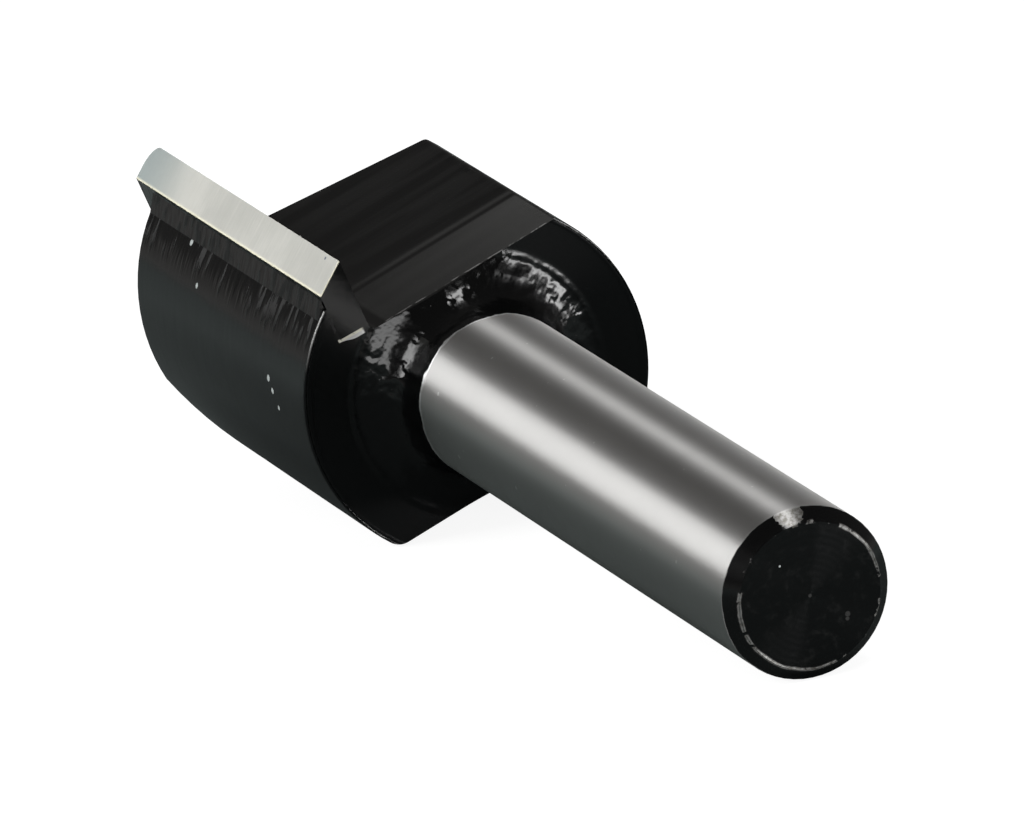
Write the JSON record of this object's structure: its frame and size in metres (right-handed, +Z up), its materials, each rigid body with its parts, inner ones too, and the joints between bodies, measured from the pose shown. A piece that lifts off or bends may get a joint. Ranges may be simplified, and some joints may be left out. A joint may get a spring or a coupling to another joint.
{
  "type": "straight router bit",
  "caption": "Straight router bit with a round shank, hooked gullets and brazed carbide tips, lying on its side.",
  "frame": {"origin": "on the ground, under the middle of the bit's length", "axes": "+X runs under the bit's axis towards the end of the shank, +Z up; the axis falls 4.57 degrees towards +X, as the bit lies at rest"},
  "size_m": [0.0517, 0.0138, 0.0128],
  "materials": {
    "painted_steel": "glossy black paint on the head, the shank's root and its end; the rest of the shank is bare ground steel",
    "carbide": "fine ground tungsten carbide",
    "braze": "silver braze, pale yellow, smooth"
  },
  "bodies": {
    "root": {"body": "painted_steel", "carbide_tip_1": "carbide", "carbide_tip_2": "carbide", "braze_joint_1": "braze", "braze_joint_2": "braze"}
  },
  "joints": []
}
